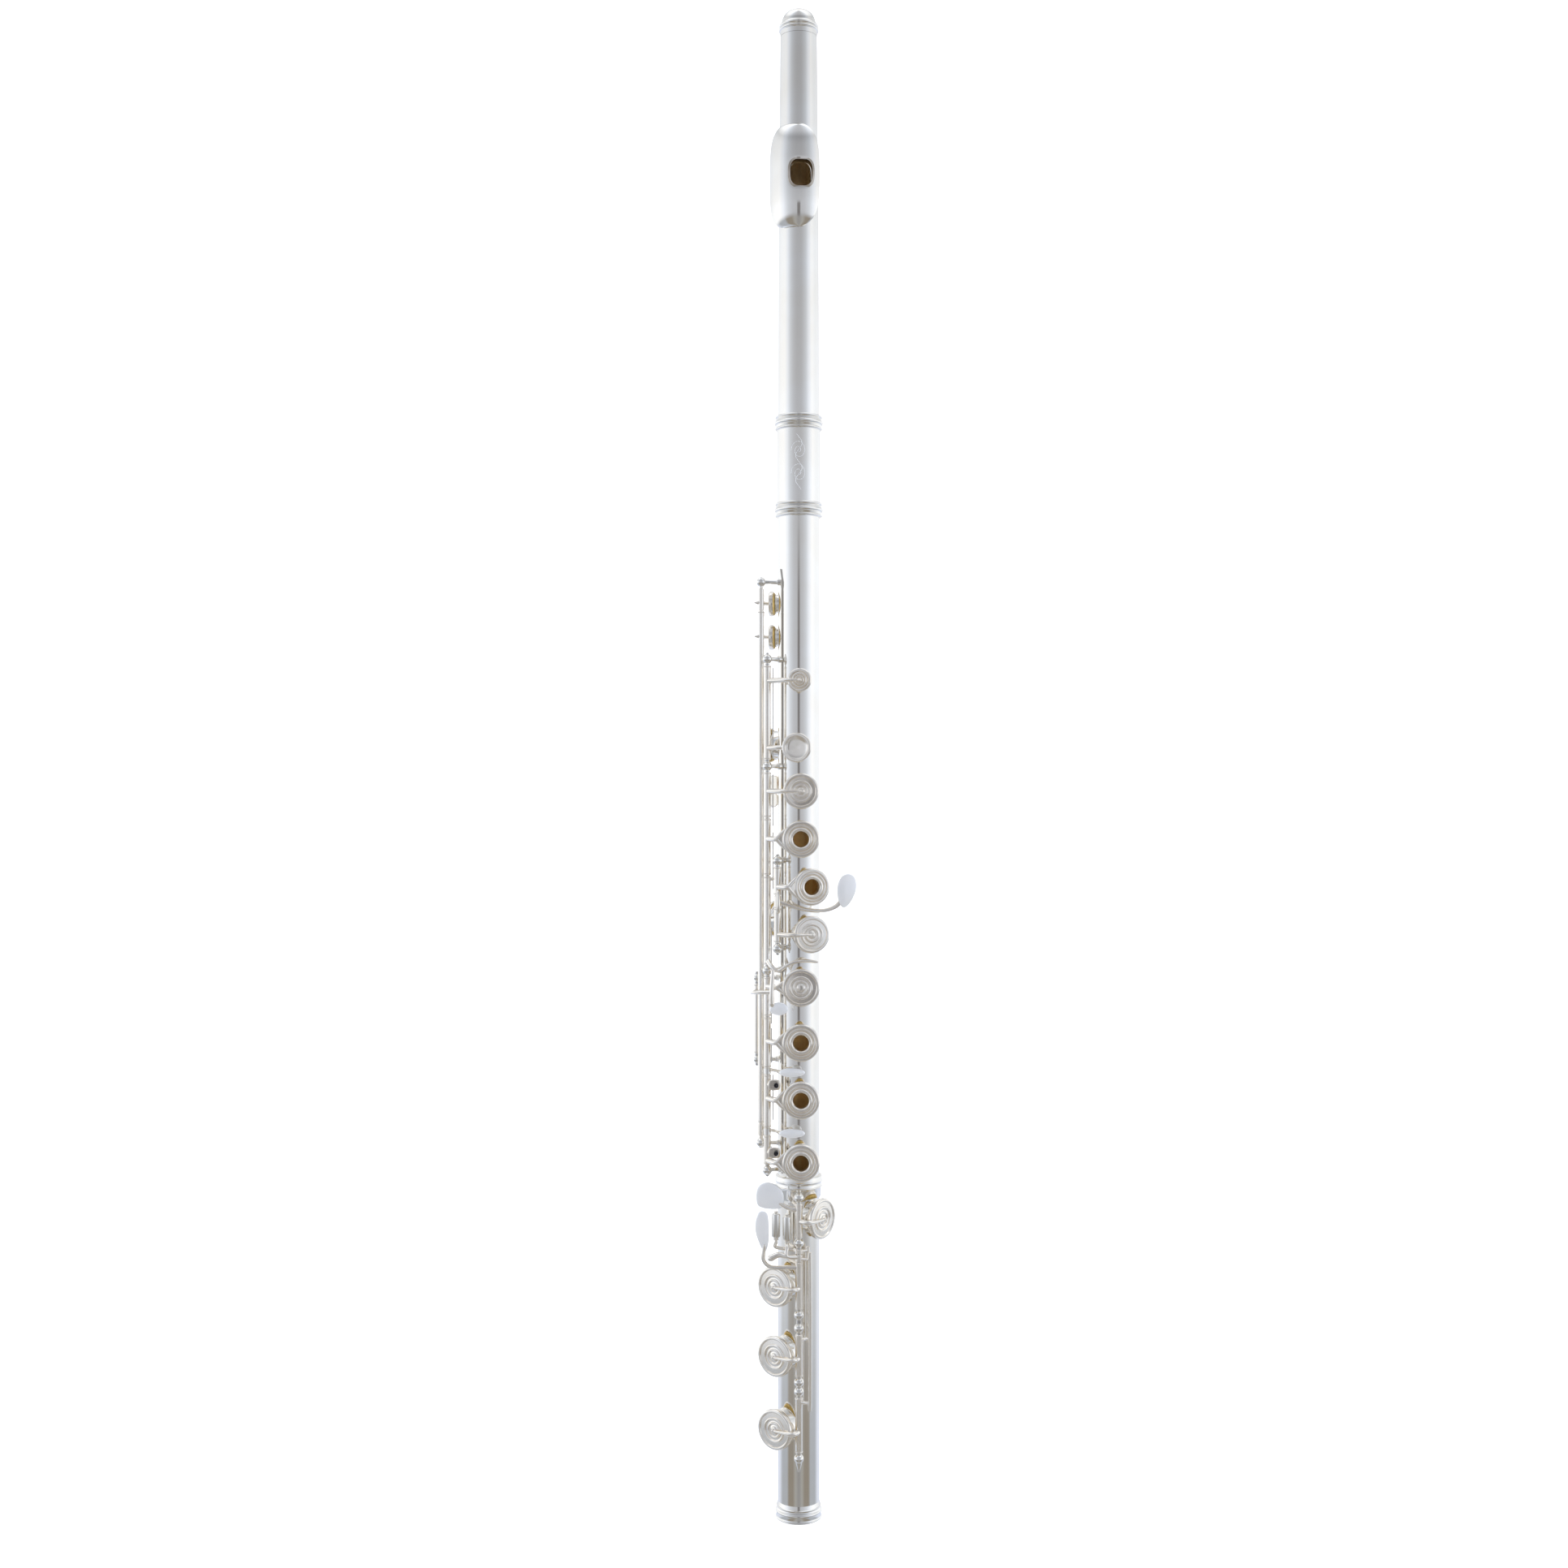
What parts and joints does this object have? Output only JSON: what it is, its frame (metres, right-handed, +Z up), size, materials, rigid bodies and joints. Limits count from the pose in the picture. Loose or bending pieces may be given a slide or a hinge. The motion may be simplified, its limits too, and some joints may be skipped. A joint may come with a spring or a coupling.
{
  "type": "concert flute",
  "caption": "silver-plated open-hole concert flute with low B foot, offset G keys and curved lip plate, standing on its open end",
  "frame": {"origin": "on the bore's axis at the open end of the foot joint", "axes": "+Z up the bore towards the crown; -Y the side the key cups and the embouchure hole face; -X the side of the long hinge rods"},
  "size_m": [0.0501, 0.0362, 0.7196],
  "materials": {
    "silver": "polished",
    "steel": "satin",
    "pad": "satin",
    "cork": "matte",
    "dark_screw": "satin"
  },
  "bodies": {
    "foot": {"foot_tube": "silver", "foot_socket": "silver", "foot_end_ring": "silver", "foot_posts": "silver", "foot_rod": "steel"},
    "body": {"body_tube": "silver", "body_rib": "silver", "body_posts": "silver", "body_rods": "steel", "needle_springs": "steel", "bumper_corks": "cork", "barrel": "silver", "barrel_rings": "silver"},
    "head": {"head_tube": "silver", "lip_plate": "silver", "lip_riser": "silver", "head_cork": "cork", "cork_screw": "silver"},
    "crown": {"crown": "silver"},
    "b_flat": {"b_flat_lever": "silver"},
    "split_e": {"split_e_lever": "silver"},
    "c_roller": {"c_roller": "silver"},
    "b_roller": {"b_roller": "silver"},
    "a": {"a_key": "silver", "a_pad": "pad"},
    "b": {"b_key": "silver", "b_pad": "pad"},
    "c_sharp": {"c_sharp_key": "silver", "c_sharp_pad": "pad"},
    "d": {"d_key": "silver", "d_pad": "pad", "d_adjusting_screw": "dark_screw"},
    "d_sharp_trill": {"d_sharp_trill_key": "silver", "d_sharp_trill_pad": "pad"},
    "d_trill": {"d_trill_key": "silver", "d_trill_pad": "pad"},
    "e_flat": {"e_flat_key": "silver", "e_flat_pad": "pad"},
    "e": {"e_key": "silver", "e_pad": "pad", "e_adjusting_screw": "dark_screw"},
    "f": {"f_key": "silver", "f_pad": "pad"},
    "f_sharp": {"f_sharp_key": "silver", "f_sharp_pad": "pad"},
    "foot_b": {"foot_b_key": "silver", "foot_b_pad": "pad"},
    "foot_c": {"foot_c_key": "silver", "foot_c_pad": "pad"},
    "foot_c_sharp": {"foot_c_sharp_key": "silver", "foot_c_sharp_pad": "pad"},
    "g": {"g_key": "silver", "g_pad": "pad"},
    "g_sharp": {"g_sharp_key": "silver", "g_sharp_pad": "pad"},
    "thumb": {"thumb_key": "silver", "thumb_pad": "pad"}
  },
  "joints": [
    {"name": "foot_turn", "type": "hinge", "parent": "foot", "child": "body", "pos_m": [0, 0, 0.16], "axis": [0, 0, 1], "range_deg": [-12, 12]},
    {"name": "tuning_slide", "type": "slide", "parent": "body", "child": "head", "axis": [0, 0, 1], "range_m": [-0.003, 0.012]},
    {"name": "crown_turn", "type": "hinge", "parent": "head", "child": "crown", "pos_m": [0, 0, 0.71], "axis": [0, 0, 1], "range_deg": [-180, 180]},
    {"name": "c_sharp_press", "type": "hinge", "parent": "body", "child": "c_sharp", "pos_m": [-0.0149, -0.0092, 0], "axis": [0, 0, 1], "range_deg": [0, 9.5], "stiffness_Nm_per_rad": 0.02, "springref_deg": -8.59},
    {"name": "b_press", "type": "hinge", "parent": "body", "child": "b", "pos_m": [-0.0149, -0.0092, 0], "axis": [0, 0, 1], "range_deg": [0, 9.5], "stiffness_Nm_per_rad": 0.02, "springref_deg": -8.59},
    {"name": "a_press", "type": "hinge", "parent": "body", "child": "a", "pos_m": [-0.0149, -0.0092, 0], "axis": [0, 0, 1], "range_deg": [0, 9.5], "stiffness_Nm_per_rad": 0.02, "springref_deg": -8.59},
    {"name": "f_sharp_press", "type": "hinge", "parent": "body", "child": "f_sharp", "pos_m": [-0.0149, -0.0092, 0], "axis": [0, 0, 1], "range_deg": [0, 9.5], "stiffness_Nm_per_rad": 0.02, "springref_deg": -8.59},
    {"name": "f_press", "type": "hinge", "parent": "body", "child": "f", "pos_m": [-0.0149, -0.0092, 0], "axis": [0, 0, 1], "range_deg": [0, 9.5], "stiffness_Nm_per_rad": 0.02, "springref_deg": -8.59},
    {"name": "e_press", "type": "hinge", "parent": "body", "child": "e", "pos_m": [-0.0149, -0.0092, 0], "axis": [0, 0, 1], "range_deg": [0, 9.5], "stiffness_Nm_per_rad": 0.02, "springref_deg": -8.59},
    {"name": "d_press", "type": "hinge", "parent": "body", "child": "d", "pos_m": [-0.0149, -0.0092, 0], "axis": [0, 0, 1], "range_deg": [0, 9.5], "stiffness_Nm_per_rad": 0.02, "springref_deg": -8.59},
    {"name": "split_e_press", "type": "hinge", "parent": "body", "child": "split_e", "pos_m": [-0.0149, -0.0092, 0], "axis": [0, 0, 1], "range_deg": [0, 9.5], "stiffness_Nm_per_rad": 0.02, "springref_deg": -8.59},
    {"name": "g_press", "type": "hinge", "parent": "body", "child": "g", "pos_m": [-0.0101, -0.013, 0], "axis": [0, 0, 1], "range_deg": [0, 9.5], "stiffness_Nm_per_rad": 0.02, "springref_deg": -8.59},
    {"name": "g_sharp_press", "type": "hinge", "parent": "body", "child": "g_sharp", "pos_m": [-0.0101, -0.013, 0], "axis": [0, 0, 1], "range_deg": [0, 5.5], "stiffness_Nm_per_rad": 0.03, "springref_deg": -8.59},
    {"name": "d_sharp_trill_press", "type": "hinge", "parent": "body", "child": "d_sharp_trill", "pos_m": [-0.0179, -0.005, 0], "axis": [0, 0, 1], "range_deg": [0, 12], "stiffness_Nm_per_rad": 0.03, "springref_deg": -8.59},
    {"name": "d_trill_press", "type": "hinge", "parent": "body", "child": "d_trill", "pos_m": [-0.0179, -0.005, 0], "axis": [0, 0, 1], "range_deg": [0, 12], "stiffness_Nm_per_rad": 0.03, "springref_deg": -8.59},
    {"name": "thumb_press", "type": "hinge", "parent": "body", "child": "thumb", "pos_m": [-0.0038, 0.014, 0], "axis": [0, 0, 1], "range_deg": [0, 11], "stiffness_Nm_per_rad": 0.02, "springref_deg": -8.59},
    {"name": "b_flat_press", "type": "hinge", "parent": "body", "child": "b_flat", "pos_m": [-0.0199, -0.002, 0], "axis": [0, 0, 1], "range_deg": [0, 4], "stiffness_Nm_per_rad": 0.03, "springref_deg": -8.59},
    {"name": "e_flat_press", "type": "hinge", "parent": "foot", "child": "e_flat", "pos_m": [0, -0.0145, 0], "axis": [0, 0, -1], "range_deg": [0, 10], "stiffness_Nm_per_rad": 0.03, "springref_deg": -8.59},
    {"name": "foot_c_sharp_press", "type": "hinge", "parent": "foot", "child": "foot_c_sharp", "pos_m": [0, -0.0145, 0], "axis": [0, 0, -1], "range_deg": [0, 12], "stiffness_Nm_per_rad": 0.03, "springref_deg": -8.59},
    {"name": "foot_c_press", "type": "hinge", "parent": "foot", "child": "foot_c", "pos_m": [0, -0.0145, 0], "axis": [0, 0, -1], "range_deg": [0, 12], "stiffness_Nm_per_rad": 0.03, "springref_deg": -8.59},
    {"name": "foot_b_press", "type": "hinge", "parent": "foot", "child": "foot_b", "pos_m": [0, -0.0145, 0], "axis": [0, 0, -1], "range_deg": [0, 12], "stiffness_Nm_per_rad": 0.03, "springref_deg": -8.59},
    {"name": "c_roller_spin", "type": "hinge", "parent": "foot_c", "child": "c_roller", "pos_m": [-0.0108, -0.0135, 0.142], "axis": [0, 0, 1], "continuous": true},
    {"name": "b_roller_spin", "type": "hinge", "parent": "foot_b", "child": "b_roller", "pos_m": [-0.0056, -0.0146, 0.141], "axis": [0, 0, 1], "continuous": true}
  ],
  "couplings": [
    {"joint": "b_press", "follows": "a_press", "ratio": 1},
    {"joint": "f_sharp_press", "follows": "f_press", "ratio": 1},
    {"joint": "split_e_press", "follows": "e_press", "ratio": 1}
  ]
}
